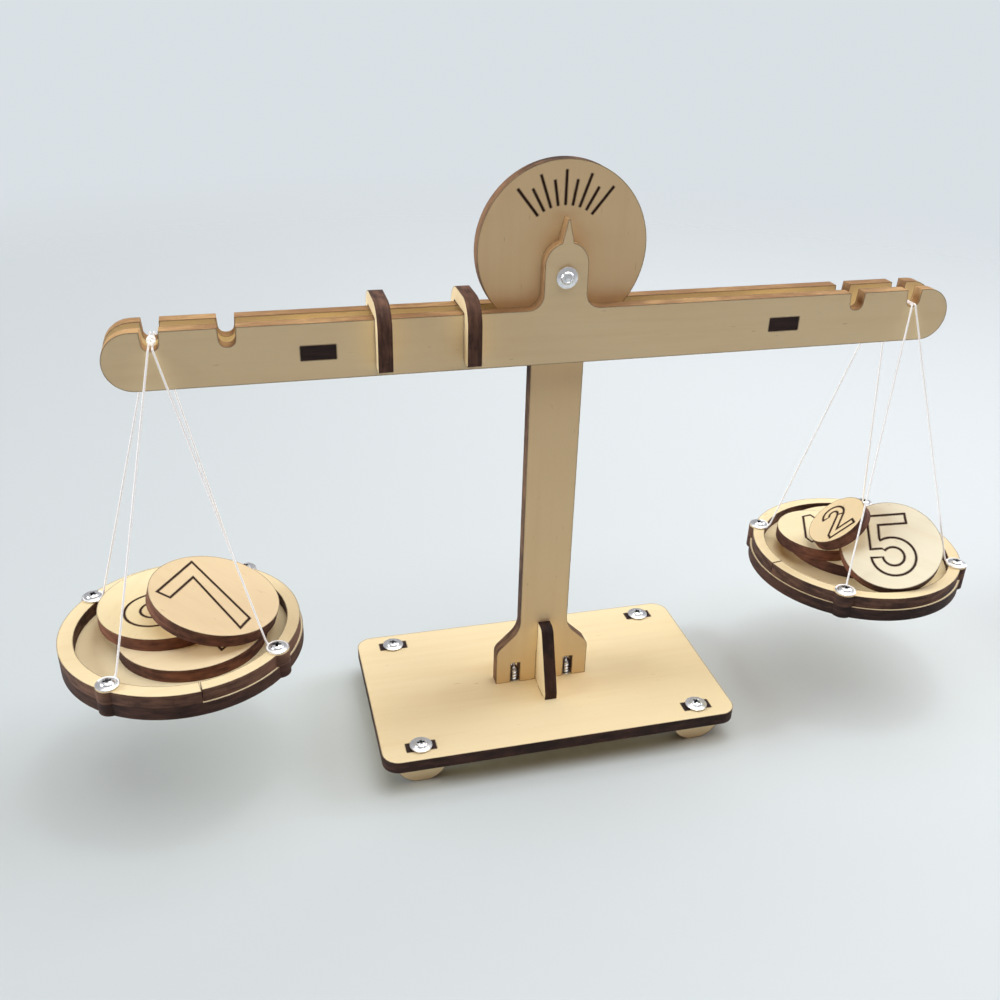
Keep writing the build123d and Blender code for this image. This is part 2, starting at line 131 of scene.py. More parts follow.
# Camera of the photograph: lens and sensor in millimetres, then its place and directions
LENS = 37.866
SENSOR = 36.0
CAMERA_PLACE = Vector((-0.0673002, -0.2078156, 0.1740967))
CAMERA_RIGHT = Vector((0.96890469, -0.24625301, 0.02414868))
CAMERA_DOWN = Vector((-0.09407666, -0.4568943, -0.88453218))
CAMERA_AHEAD = Vector((0.22885211, 0.85475555, -0.46585369))

# Stage: the floor's size, where it fades out and where painted light turns it paler, and each
# lamp's power setting, place, aim, width and colour
FLOOR_RADIUS = 6.0
FLOOR_DROP = 0.00005
FLOOR_FADE = (0.22, 0.75)
FLOOR_PAINTED_LIGHT_SPAN = (-0.16, 0.22)
FLOOR_CLOUD = (0.6, 0.64, 0.68)
LAMPS = {
    "key_lamp": ("key_power", (0.13, 0.05, 0.80), (0, 0, 0.03), 0.15, (0.9, 0.97, 1.0)),
    "soft_box": ("soft_power", (0.15, 0.05, 0.95), (0, 0, 0.05), 1.3, (1.0, 1.0, 0.95)),
    "left_lamp": ("left_power", (-2.0, 0.12, 0.80), (0, 0, 0.08), 1.2, (0.91, 1.0, 1.06)),
    "right_lamp": ("right_power", (1.9, 0.28, 0.90), (0, 0, 0.05), 1.2, (0.88, 0.97, 1.15)),
}
ROOM_GLOW = (1.0, 0.3, 0.12)

# Plywood: where a face begins, as shares of the thickness from its middle, and the smoke's reach
FACE_START = (0.46, 0.48)
LIP_START = 0.43
SMOKE_REACH = 0.0005
# Steel and thread: clouds, painted crease shade and its reach; painted twist shade and twist rate
STEEL_CLOUD = (0.66, 0.66, 0.68)
STEEL_PAINTED_SHADE = (0.06, 0.06, 0.065)
PAINTED_SHADE_REACH = 0.0006
THREAD_GROOVE_SHADE = (0.80, 0.80, 0.80)
THREAD_TWIST = 7500.0

# Grain directions of the cut sheets; every other sheet's grain runs along X
UPRIGHT_GRAIN = ("post", "post_brace", "inner_rider", "outer_rider")
GRAIN_TURNS = {
    "disc_9": 20, "disc_8": 65, "disc_7": -35, "disc_10": 80, "disc_4": 10, "disc_5": -50,
    "disc_2": 35, "left_pan_plate": 15, "right_pan_plate": -25, "left_pan_ring_half_1": 8,
    "left_pan_ring_half_2": -70, "right_pan_ring_half_1": 30, "right_pan_ring_half_2": -12,
}
# How each sheet's veneer differs from the common colour, as factors on red, green and blue
VENEER_TONES = {
    "disc_5": (1.03, 1.15, 1.42), "disc_4": (1.0, 1.03, 1.06), "disc_7": (0.98, 0.93, 0.92),
    "disc_8": (1.0, 1.02, 1.02), "disc_9": (1.02, 1.02, 1.08), "disc_2": (0.96, 0.91, 0.88),
    "post": (0.99, 0.94, 0.88),
    "inner_rider": (0.97, 0.94, 0.92), "outer_rider": (0.97, 0.94, 0.92),
    # The pan plates' tones are raised as painted light, lifting the floors inside the pans where
    # rings and discs shade them
    "left_pan_plate": (1.03, 1.06, 1.12), "right_pan_plate": (1.03, 1.04, 1.06),
}
# Sheets whose cut edges differ from the common colours: the darkest and the lightest colour
CUT_COLOURS = {
    # The beam's edges are painted lighter and golden: painted light standing in for the strong
    # light on its top edges
    "beam": ((0.30, 0.165, 0.075), (0.60, 0.375, 0.17)),
    "post": ((0.038, 0.017, 0.013), (0.30, 0.165, 0.085)),
    "disc": ((0.055, 0.022, 0.014), (0.28, 0.112, 0.064)),
    "dark": ((0.016, 0.007, 0.005), (0.09, 0.04, 0.027)),
    "black": ((0.012, 0.007, 0.006), (0.042, 0.022, 0.02)),
}
CUTS = {
    "beam_front_plate": "beam", "beam_rear_plate": "beam", "post": "post", "post_brace": "dark",
    "base_plate": "dark", "left_pan_plate": "dark", "right_pan_plate": "dark",
    "left_spacer": "black", "right_spacer": "black", "front_left_foot": "black",
    "front_right_foot": "black", "rear_left_foot": "black", "rear_right_foot": "black",
    "disc_2": "disc", "disc_4": "disc", "disc_5": "disc", "disc_7": "disc", "disc_8": "disc",
    "disc_9": "disc", "disc_10": "disc",
}


class BalanceSizes(bpy.types.PropertyGroup):
    """Sizes of the small fittings."""

    thread_diameter: bpy.props.FloatProperty(
        name="Thread diameter", description="Thickness of the pans' thread",
        default=0.00045, unit="LENGTH", precision=5)
    foot_head_diameter: bpy.props.FloatProperty(
        name="Foot screw head", description="Width of the washer heads on the base",
        default=0.0053, unit="LENGTH", precision=4)
    pan_head_diameter: bpy.props.FloatProperty(
        name="Pan screw head", description="Width of the washer heads on the pans",
        default=0.005, unit="LENGTH", precision=4)
    pivot_head_diameter: bpy.props.FloatProperty(
        name="Pivot screw head", description="Width of the pivot screw's head",
        default=0.0046, unit="LENGTH", precision=4)
    shank_diameter: bpy.props.FloatProperty(
        name="Screw shank", description="Width of the screws over their threads",
        default=0.0023, unit="LENGTH", precision=4)
    thread_pitch: bpy.props.FloatProperty(
        name="Screw pitch", description="Distance from one turn of a screw's thread to the next",
        default=0.0009, unit="LENGTH", precision=4)
    head_height: bpy.props.FloatProperty(
        name="Screw head height", description="Height of a screw's head over the wood",
        default=0.0013, unit="LENGTH", precision=4)
    recess_width: bpy.props.FloatProperty(
        name="Cross recess width", description="Width of an arm of the cross in a screw's head",
        default=0.0008, unit="LENGTH", precision=4)


class BalanceColours(bpy.types.PropertyGroup):
    """Colours of the wood, the metal and the thread."""

    veneer: bpy.props.FloatVectorProperty(
        name="Veneer", description="Pale face of the plywood",
        subtype="COLOR", size=3, default=(0.95, 0.80, 0.50))
    veneer_streak: bpy.props.FloatVectorProperty(
        name="Veneer streaks", description="Deeper streaks along the grain",
        subtype="COLOR", size=3, default=(0.87, 0.68, 0.39))
    fleck: bpy.props.FloatVectorProperty(
        name="Flecks", description="Small dark pores in the veneer",
        subtype="COLOR", size=3, default=(0.40, 0.23, 0.11))
    toasted_edge: bpy.props.FloatVectorProperty(
        name="Toasted edge", description="Lighter parts of the burnt cut edges",
        subtype="COLOR", size=3, default=(0.20, 0.10, 0.062))
    charred_edge: bpy.props.FloatVectorProperty(
        name="Charred edge", description="Darkest parts of the burnt cut edges",
        subtype="COLOR", size=3, default=(0.038, 0.018, 0.014))
    golden_edge: bpy.props.FloatVectorProperty(
        name="Smoke brown", description="Golden brown that the smoke leaves beside a cut",
        subtype="COLOR", size=3, default=(0.46, 0.27, 0.12))
    engraving: bpy.props.FloatVectorProperty(
        name="Engraving", description="Burnt floor of engraved lines",
        subtype="COLOR", size=3, default=(0.05, 0.022, 0.014))
    screw_steel: bpy.props.FloatVectorProperty(
        name="Screw steel", description="Bright plated steel",
        subtype="COLOR", size=3, default=(0.83, 0.83, 0.84))
    # This colour also feeds the thread's emission, a painted glow
    thread_white: bpy.props.FloatVectorProperty(
        name="Thread", description="White twisted thread, which also glows slightly",
        subtype="COLOR", size=3, default=(0.93, 0.93, 0.92))


class StudioSettings(bpy.types.PropertyGroup):
    """The floor, the backdrop and the lamps."""

    floor: bpy.props.FloatVectorProperty(
        name="Floor", description="Pale grey-blue table top",
        subtype="COLOR", size=3, default=(0.59, 0.645, 0.66))
    # Painted light: the paler colour at the right stands in for more light falling there
    floor_lit_right: bpy.props.FloatVectorProperty(
        name="Floor at the right", description="Paler colour that the floor runs to at the right",
        subtype="COLOR", size=3, default=(0.70, 0.755, 0.77))
    backdrop: bpy.props.FloatVectorProperty(
        name="Backdrop", description="Colour of the far background",
        subtype="COLOR", size=3, default=(0.70, 0.75, 0.785))
    key_power: bpy.props.FloatProperty(
        name="Key lamp", description="Power of the small lamp overhead", default=0.6, unit="POWER")
    soft_power: bpy.props.FloatProperty(
        name="Soft box", description="Power of the large soft box", default=8.0, unit="POWER")
    left_power: bpy.props.FloatProperty(
        name="Left lamp", description="Power of the lamp at the left", default=36.0, unit="POWER")
    right_power: bpy.props.FloatProperty(
        name="Right lamp", description="Power of the lamp at the right",
        default=22.0, unit="POWER")
    sky: bpy.props.FloatProperty(
        name="Room light", description="Strength of the warm light of the room", default=0.11)


class Term:
    """A socket that can be used in sums, so that shader maths reads as plain maths."""

    def __init__(self, recipe, socket):
        self.recipe = recipe
        self.socket = socket

    def _math(self, operation, first, second):
        return self.recipe.term("ShaderNodeMath", {"operation": operation}, {0: first, 1: second})

    def __add__(self, other):
        return self._math("ADD", self, other)

    def __radd__(self, other):
        return self._math("ADD", other, self)

    def __sub__(self, other):
        return self._math("SUBTRACT", self, other)

    def __rsub__(self, other):
        return self._math("SUBTRACT", other, self)

    def __mul__(self, other):
        return self._math("MULTIPLY", self, other)

    def __rmul__(self, other):
        return self._math("MULTIPLY", other, self)

    def __abs__(self):
        return self._math("ABSOLUTE", self, 0.0)


class Recipe:
    """A material or world under construction."""

    def __init__(self, tree):
        self.tree = tree
        self.tree.nodes.clear()

    def node(self, kind, settings=None, inputs=None):
        """Adds a node: its settings first, then the values or links of its sockets."""
        made = self.tree.nodes.new(kind)
        for name, value in (settings or {}).items():
            setattr(made, name, value)
        for name, value in (inputs or {}).items():
            socket = made.inputs[name]
            if isinstance(value, Term):
                self.tree.links.new(value.socket, socket)
            elif hasattr(value, "__len__") and len(value) == 3 and socket.type == "RGBA":
                socket.default_value = (*value, 1.0)
            else:
                socket.default_value = value
        return made

    def term(self, kind, settings=None, inputs=None, output=0):
        """The same, giving one of its outputs."""
        return Term(self, self.node(kind, settings, inputs).outputs[output])

    def along(self, vector, direction):
        """How far a point lies along a direction."""
        return self.term("ShaderNodeVectorMath", {"operation": "DOT_PRODUCT"},
                         {0: vector, 1: direction}, "Value")

    def ease(self, value, low, high):
        """0 below low, 1 above high and smooth between them."""
        return self.term("ShaderNodeMapRange", {"interpolation_type": "SMOOTHSTEP"},
                         {"Value": value, "From Min": low, "From Max": high})

    def blend(self, mask, first, second):
        """The first colour where the mask is 0 and the second where it is 1."""
        return self.term("ShaderNodeMix", {"data_type": "RGBA"},
                         {0: mask, 6: first, 7: second}, 2)

    def tint(self, colour, factors):
        """A colour times factors on its red, green and blue."""
        return self.term("ShaderNodeMix", {"data_type": "RGBA", "blend_type": "MULTIPLY"},
                         {0: 1.0, 6: colour, 7: factors}, 2)

    def noise(self, place, scale, detail=2.0):
        return self.term("ShaderNodeTexNoise", None, {
            "Vector": place, "Scale": scale, "Detail": detail, "Roughness": 0.5})

    def grain_noise(self, place, scales, detail=2.0):
        """Noise on a sheet's own axes, with a scale for each of them."""
        x, y, z = (part * scale for part, scale in zip(place, scales))
        stretched = self.term("ShaderNodeCombineXYZ", None, {0: x, 1: y, 2: z})
        return self.noise(stretched, 1.0, detail)


def new_material(name):
    material = bpy.data.materials.new(name)
    material.use_nodes = True
    return material, Recipe(material.node_tree)


def finish_material(recipe, inputs):
    shader = recipe.node("ShaderNodeBsdfPrincipled", None, inputs)
    target = recipe.node("ShaderNodeOutputMaterial")
    recipe.tree.links.new(shader.outputs[0], target.inputs[0])


def sheet_plane(node):
    """The direction across a sheet and its middle, from its largest flat faces."""
    areas = {}
    for face in node.data.polygons:
        key = tuple(round(abs(part), 2) for part in face.normal)
        total, direction = areas.get(key, (0.0, face.normal.copy()))
        areas[key] = (total + face.area, direction)
    across = max(areas.values(), key=lambda entry: entry[0])[1]
    reach = [corner.co.dot(across) for corner in node.data.vertices]
    return across, (min(reach) + max(reach)) / 2


def grain_direction(name, across):
    if name in UPRIGHT_GRAIN:
        wanted = Vector((0, 0, 1))
    else:
        turn = math.radians(GRAIN_TURNS.get(name, 0))
        wanted = Vector((math.cos(turn), math.sin(turn), 0))
    wanted = wanted - across * wanted.dot(across)
    return wanted.normalized()


def edge_colours(name, colours):
    """The darkest and the lightest colour of a sheet's cut edges."""
    return CUT_COLOURS.get(CUTS.get(name), (colours.charred_edge, colours.toasted_edge))


def veneer_colour(recipe, colours, tone, place):
    """Veneer with broad tone, long streaks, fine fibres and a few pores; also its relief."""
    broad = recipe.grain_noise(place, (14, 30, 30))
    streaks = recipe.grain_noise(place, (22, 420, 420), 3.0)
    fibres = recipe.grain_noise(place, (160, 3600, 3600))
    pores = recipe.grain_noise(place, (260, 2100, 2100), 1.0)
    streak = recipe.ease(streaks * 0.6 + broad * 0.4, 0.42, 0.75) * 0.5
    veneer = recipe.blend(streak + (fibres - 0.5) * 0.22, colours.veneer, colours.veneer_streak)
    veneer = recipe.blend(recipe.ease(pores, 0.74, 0.82) * 0.45, veneer, colours.fleck)
    return recipe.tint(veneer, tone), streaks, fibres


def smoked(recipe, colours, veneer):
    """The cut's smoke: brown along the edges of faces and engraving, dark right at them."""
    bevel = recipe.term("ShaderNodeBevel", {"samples": 6}, {"Radius": SMOKE_REACH})
    true = recipe.term("ShaderNodeNewGeometry", output="Normal")
    bent = 1 - recipe.along(bevel, true)
    veneer = recipe.blend(recipe.ease(bent, 0.003, 0.09) * 0.4, veneer, colours.golden_edge)
    return recipe.blend(recipe.ease(bent, 0.045, 0.16) * 0.85, veneer, colours.engraving)


def cut_edge(recipe, colours, name, place, height):
    """A cut edge: char straight across the thickness, faint glue lines and darker lips."""
    char = recipe.grain_noise(place, (38, 38, 20))
    lines = recipe.grain_noise(place, (900, 900, 90))
    blots = recipe.grain_noise(place, (260, 260, 900), 3.0)
    burn = recipe.ease(char * 0.58 + blots * 0.36 + lines * 0.06, 0.38, 0.66)
    dark, light = edge_colours(name, colours)
    edge = recipe.blend(burn, dark, light)
    glue = recipe.ease(abs(height - SHEET * 0.25), SHEET * 0.05, SHEET * 0.01)
    edge = recipe.blend(glue * 0.3, edge, dark)
    lip = recipe.ease(height, SHEET * LIP_START, SHEET * 0.5)
    return recipe.blend(lip * 0.7, edge, colours.charred_edge), lines


def plywood(name, node, colours, seed):
    """Pale veneer on a sheet's two faces, burnt cut edges and burnt floors in its engraving."""
    across, middle = sheet_plane(node)
    grain = grain_direction(name, across)
    material, recipe = new_material("plywood_" + name)
    seen = recipe.node("ShaderNodeTexCoord")
    spot = Term(recipe, seen.outputs["Object"])
    facing = abs(recipe.along(Term(recipe, seen.outputs["Normal"]), across))
    height = abs(recipe.along(spot, across) - middle)
    flat = recipe.ease(facing, 0.6, 0.75)
    outer = recipe.ease(height, SHEET * FACE_START[0], SHEET * FACE_START[1])
    run = recipe.along(spot, grain) + seed * 0.37
    side = recipe.along(spot, across.cross(grain)) + seed * 0.11
    place = (run, side, recipe.along(spot, across))

    tone = VENEER_TONES.get(name, (1.0, 1.0, 1.0))
    veneer, streaks, fibres = veneer_colour(recipe, colours, tone, place)
    face = recipe.blend(outer, colours.engraving, smoked(recipe, colours, veneer))
    edge, lines = cut_edge(recipe, colours, name, place, height)
    relief = (fibres * 0.6 + streaks * 0.4) * flat * outer + lines * (1 - flat)
    bump = recipe.term("ShaderNodeBump", None, {
        "Strength": 0.35, "Distance": 0.00008, "Height": relief})
    finish_material(recipe, {
        "Base Color": recipe.blend(flat, edge, face), "Normal": bump, "Specular IOR Level": 0.3,
        "Roughness": 0.78 - flat * outer * 0.16 + (fibres - 0.5) * 0.12})
    return material


def steel(colours):
    """Bright plated steel, faint clouds and small scratches; painted shade in its creases."""
    material, recipe = new_material("screw_steel")
    spot = Term(recipe, recipe.node("ShaderNodeTexCoord").outputs["Object"])
    clouds = recipe.noise(spot, 900.0, 3.0)
    grit = recipe.noise(spot, 6000.0, 2.0)
    # Painted shade: ambient occlusion turns the steel dark in the cross recess and the head's and
    # spiral's creases
    opening = recipe.term("ShaderNodeAmbientOcclusion", {"samples": 8, "only_local": True},
                          {"Distance": PAINTED_SHADE_REACH}, "AO")
    bright = recipe.blend(recipe.ease(clouds, 0.35, 0.75), colours.screw_steel, STEEL_CLOUD)
    colour = recipe.blend(recipe.ease(opening, 0.5, 0.95), STEEL_PAINTED_SHADE, bright)
    bump = recipe.term("ShaderNodeBump", None, {
        "Strength": 0.25, "Distance": 0.00004, "Height": grit + clouds})
    finish_material(recipe, {
        "Base Color": colour, "Metallic": 1.0, "Roughness": 0.2 + clouds * 0.18, "Normal": bump})
    return material


def twisted_thread(colours):
    """White sewing thread: two strands twisted, a little fuzz, painted shade in the twist and a
    painted glow.
    """
    material, recipe = new_material("white_thread")
    spot = Term(recipe, recipe.node("ShaderNodeTexCoord").outputs["Object"])
    rise = recipe.along(spot, (0.35, 0.35, 1.0))
    wave = recipe.term("ShaderNodeMath", {"operation": "SINE"}, {0: rise * THREAD_TWIST})
    twist = wave * 0.5 + 0.5
    fuzz = recipe.noise(spot, 4200.0, 3.0)
    # Painted shade: the twist's grooves darken towards the shade colour, broken by fuzz
    shade = recipe.ease(twist * 0.7 + fuzz * 0.3, 0.15, 0.85)
    colour = recipe.blend(shade, THREAD_GROOVE_SHADE, colours.thread_white)
    bump = recipe.term("ShaderNodeBump", None, {
        "Strength": 0.3, "Distance": 0.00004, "Height": shade + fuzz * 0.3})
    # The emission is a painted glow: the thread lights itself in its own white, standing in for
    # light from around it
    finish_material(recipe, {
        "Base Color": colour, "Roughness": 0.6 + fuzz * 0.1, "Normal": bump,
        "Sheen Weight": 0.7, "Sheen Roughness": 0.6, "Emission Color": colours.thread_white,
        "Emission Strength": 0.3})
    return material


def deselect_all():
    for thing in bpy.context.view_layer.objects:
        thing.select_set(False)


def only(thing):
    """Makes one object the selected and active one."""
    deselect_all()
    thing.select_set(True)
    bpy.context.view_layer.objects.active = thing


def turned(name, profile, segments=40):
    """A solid turned from a circle: extruded and resized up through (radius, height) pairs."""
    deselect_all()
    radius, height = profile[0]
    bpy.ops.mesh.primitive_circle_add(
        vertices=segments, radius=radius, fill_type="NGON", location=(0, 0, 0))
    piece = bpy.context.object
    piece.name = name
    bpy.ops.object.mode_set(mode="EDIT")
    bpy.ops.mesh.select_mode(type="EDGE")
    bpy.ops.mesh.select_all(action="SELECT")
    bpy.ops.transform.translate(value=(0, 0, height))
    for next_radius, next_height in profile[1:]:
        bpy.ops.mesh.extrude_region_move(
            TRANSFORM_OT_translate={"value": (0, 0, next_height - height)})
        ratio = next_radius / radius
        bpy.ops.transform.resize(
            value=(ratio, ratio, 1), center_override=(0, 0, next_height))
        radius, height = next_radius, next_height
    bpy.ops.mesh.select_all(action="SELECT")
    bpy.ops.mesh.normals_make_consistent(inside=False)
    bpy.ops.object.mode_set(mode="OBJECT")
    return piece


def apply_modifier(piece, kind, settings):
    modifier = piece.modifiers.new(kind.lower(), kind)
    for name, value in settings.items():
        setattr(modifier, name, value)
    only(piece)
    bpy.ops.object.modifier_apply(modifier=modifier.name)


def screw_up(outline, turns, rise, steps, sides):
    """Carries a closed outline round Z and up, and closes its two ends."""
    apply_modifier(outline, "SCREW", {
        "angle": turns * 2 * math.pi, "screw_offset": rise, "steps": steps,
        "render_steps": steps, "axis": "Z"})
    only(outline)
    bpy.ops.object.mode_set(mode="EDIT")
    bpy.ops.mesh.select_all(action="SELECT")
    bpy.ops.mesh.fill_holes(sides=sides)
    bpy.ops.mesh.select_all(action="SELECT")
    bpy.ops.mesh.normals_make_consistent(inside=False)
    bpy.ops.object.mode_set(mode="OBJECT")


def screw_spiral(sizes, length):
    """The raised spiral on a screw, from under the head down to its point."""
    pitch = sizes.thread_pitch
    core = sizes.shank_diameter / 2 - SPIRAL_DEPTH
    deselect_all()
    bpy.ops.mesh.primitive_circle_add(
        vertices=3, radius=SPIRAL_RADIUS, fill_type="NOTHING", location=(0, 0, 0))
    ridge = bpy.context.object
    bpy.ops.object.mode_set(mode="EDIT")
    bpy.ops.mesh.select_all(action="SELECT")
    bpy.ops.transform.rotate(value=math.pi / 2, orient_axis="Z", center_override=(0, 0, 0))
    bpy.ops.transform.rotate(value=math.pi / 2, orient_axis="X", center_override=(0, 0, 0))
    bpy.ops.transform.translate(value=(core + SPIRAL_OUT, 0, -length))
    bpy.ops.object.mode_set(mode="OBJECT")
    turns = int((length - pitch * 0.5) / pitch)
    screw_up(ridge, turns, turns * pitch, turns * SPIRAL_STEPS, 8)
    return ridge


def select_where(mesh_object, parts, chosen):
    """Selects the vertices or faces of a mesh in edit mode that a test picks."""
    mesh = bmesh.from_edit_mesh(mesh_object.data)
    for part in getattr(mesh, parts):
        part.select_set(chosen(part))
    mesh.select_flush_mode()
    bmesh.update_edit_mesh(mesh_object.data)
    return any(part.select for part in getattr(mesh, parts))


def narrow_point(piece, length):
    """Draws the lower end of a screw in to a point, ring by ring."""
    only(piece)
    bpy.ops.object.mode_set(mode="EDIT")
    bpy.ops.mesh.select_mode(type="VERT")
    reached = 1.0
    for step in range(POINT_STEPS):
        limit = -length + POINT_LENGTH * (1 - step / POINT_STEPS)
        wanted = 1 - POINT_NARROWING * (step + 1) / POINT_STEPS
        if select_where(piece, "verts", lambda corner: corner.co.z < limit):
            ratio = wanted / reached
            bpy.ops.transform.resize(value=(ratio, ratio, 1), center_override=(0, 0, 0))
        reached = wanted
    bpy.ops.object.mode_set(mode="OBJECT")


def cross_cutter(sizes, head_radius, top):
    """Two crossed tapered bars that sink the cross recess into a head."""
    bars = []
    for turn in (0, 90):
        deselect_all()
        bpy.ops.mesh.primitive_cube_add(size=1, location=(0, 0, 0))
        bar = bpy.context.object
        bpy.ops.object.mode_set(mode="EDIT")
        bpy.ops.mesh.select_all(action="SELECT")
        bpy.ops.transform.resize(
            value=(head_radius * CROSS_REACH, sizes.recess_width, CROSS_DEPTH),
            center_override=(0, 0, 0))
        bpy.ops.transform.translate(value=(0, 0, top))
        select_where(bar, "faces", lambda face: face.normal.z < -0.5)
        bpy.ops.transform.resize(value=CROSS_TAPER, center_override=(0, 0, 0))
        bpy.ops.mesh.select_all(action="SELECT")
        bpy.ops.transform.rotate(
            value=math.radians(turn), orient_axis="Z", center_override=(0, 0, 0))
        bpy.ops.object.mode_set(mode="OBJECT")
        bars.append(bar)
    return bars


def screw_pattern(name, sizes, head_diameter, length, crossed=True):
    """A screw standing on z = 0: washer, head with a cross or a dimple, and shank with a spiral."""
    radius = head_diameter / 2
    core = sizes.shank_diameter / 2 - SPIRAL_DEPTH
    top = sizes.head_height
    outline = [
        (core * POINT_WIDTH, -length), (core, -length + POINT_LENGTH), (core, 0.0),
        (radius * 0.5, HEAD_UNDERCUT),
    ]
    shares = HEAD_OUTLINE + (DOME_OUTLINE if crossed else DIMPLE_OUTLINE)
    body = turned(name, outline + [(radius * width, top * height) for width, height in shares])
    for bar in cross_cutter(sizes, radius, top + CROSS_UP) if crossed else []:
        apply_modifier(
            body, "BOOLEAN", {"operation": "DIFFERENCE", "object": bar, "solver": "EXACT"})
        bpy.data.objects.remove(bar)
    ridge = screw_spiral(sizes, length)
    narrow_point(ridge, length)
    only(body)
    ridge.select_set(True)
    bpy.ops.object.join()
    bpy.ops.object.shade_smooth_by_angle(angle=math.radians(32))
    return body


def place_copy(pattern, name, matrix, material, body, node):
    """A copy of a finished pattern with its own mesh, put in place and left at the origin."""
    copy = bpy.data.objects.new(name, pattern.data.copy())
    bpy.context.scene.collection.objects.link(copy)
    copy.data.transform(matrix)
    copy.data.materials.clear()
    copy.data.materials.append(material)
    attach(copy, body)
    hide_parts(node)


def screw_places():
    """Kind, name and place of each screw, its body and the node that it stands for."""
    for end, y in (("front", -FOOT_Y), ("rear", FOOT_Y)):
        for side, sign in SIDES.items():
            place = (sign * FOOT_X, y, BASE_TOP_Z)
            yield "foot", f"foot_screw_{end}_{side}", place, "stand", "foot_screws"
    for side, sign in SIDES.items():
        place = (sign * POST_SCREW_X, 0, BASE_BOTTOM_Z)
        yield "post", f"post_screw_{side}", place, "stand", "post_screws"
    yield "pivot", "pivot_washer_screw", PIVOT_SCREW, "beam", "pivot_screw"
    for side in SIDES:
        for corner in PAN_SCREW_TURNS:
            place = screw_spot(side, corner)[0]
            yield "pan", f"{side}_pan_screw_{corner}", place, f"{side}_pan", f"{side}_pan_screws"


def screw_spot(side, corner):
    """Middle of a pan screw on the ring's top, and the direction from it to the pan's middle."""
    angle = math.radians(PAN_SCREW_TURNS[corner])
    outward = Vector((math.cos(angle), math.sin(angle), 0))
    return Vector((SIDES[side] * PAN_X, 0, RING_TOP_Z)) + outward * PAN_SCREW_CIRCLE, -outward


def thread_half(side, corner, strand_x):
    """Points of a thread from its screw up to the notch."""
    screw, inward = screw_spot(side, corner)
    start = screw + inward * THREAD_START_IN + Vector((0, 0, THREAD_START_UP))
    low = screw + inward * THREAD_BESIDE_SCREW + Vector((0, 0, THREAD_UP))
    exit_y = NOTCH_EXIT_Y if screw.y > 0 else -NOTCH_EXIT_Y
    high = Vector((strand_x, exit_y, STRAND_Z))
    run = (high - low).normalized()
    lower = [low + run * step for step in LOW_BEND]
    upper = [high - run * step for step in HIGH_BEND]
    return [start] + lower + upper


def new_thread(name, points, diameter, material):
    """One smooth line through the control points, as thick as the thread."""
    curve = bpy.data.curves.new(name, "CURVE")
    curve.dimensions = "3D"
    spline = curve.splines.new("NURBS")
    spline.points.add(len(points) - 1)
    for place, point in zip(spline.points, points):
        place.co = (*point, 1.0)
    spline.order_u = 3
    spline.use_endpoint_u = True
    spline.resolution_u = 12
    curve.bevel_depth = diameter / 2
    curve.bevel_resolution = 3
    curve.use_fill_caps = True
    piece = bpy.data.objects.new(name, curve)
    bpy.context.scene.collection.objects.link(piece)
    curve.materials.append(material)
    return piece


def drop_helpers(*things):
    for thing in things:
        mesh = thing.data
        bpy.data.objects.remove(thing)
        bpy.data.meshes.remove(mesh)


class BALANCE_OT_camera(bpy.types.Operator):
    """Puts the camera where the photograph was taken from"""

    bl_idname = "balance.camera"
    bl_label = "Camera"

    def execute(self, context):
        lens = bpy.data.cameras.new("photograph_camera")
        lens.lens = LENS
        lens.sensor_width = SENSOR
        lens.clip_start = 0.005
        lens.clip_end = 20.0
        camera = bpy.data.objects.new("photograph_camera", lens)
        context.scene.collection.objects.link(camera)
        axes = (CAMERA_RIGHT, -CAMERA_DOWN, -CAMERA_AHEAD, CAMERA_PLACE)
        rows = [[axis[row] for axis in axes] for row in range(3)]
        camera.matrix_world = Matrix(rows + [[0, 0, 0, 1]])
        context.scene.camera = camera
        return {"FINISHED"}


class BALANCE_OT_threads(bpy.types.Operator):
    """Strings each pan: two threads, each from a front screw over the notches to a rear screw"""

    bl_idname = "balance.threads"
    bl_label = "Threads"

    def execute(self, context):
        settings = context.scene.balance_sizes
        material = twisted_thread(context.scene.balance_colours)
        for side, sign in SIDES.items():
            for end, step in SIDES.items():
                strand_x = sign * NOTCH_X + step * STRAND_SPACING / 2
                front = thread_half(side, f"front_{end}", strand_x)
                rear = thread_half(side, f"rear_{end}", strand_x)
                strand = [
                    Vector((strand_x, y, STRAND_Z))
                    for y in (-NOTCH_EXIT_Y, -STRAND_BEND_Y, 0.0, STRAND_BEND_Y, NOTCH_EXIT_Y)]
                points = front + strand + rear[::-1]
                name = f"{side}_pan_thread_{end}"
                piece = new_thread(name, points, settings.thread_diameter, material)
                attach(piece, f"{side}_pan")
                nodes = [f"{side}_pan_string_front_{end}", f"{side}_pan_string_rear_{end}"]
                if end == "left":
                    nodes.append(f"{side}_pan_yoke")
                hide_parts(*nodes)
        return {"FINISHED"}


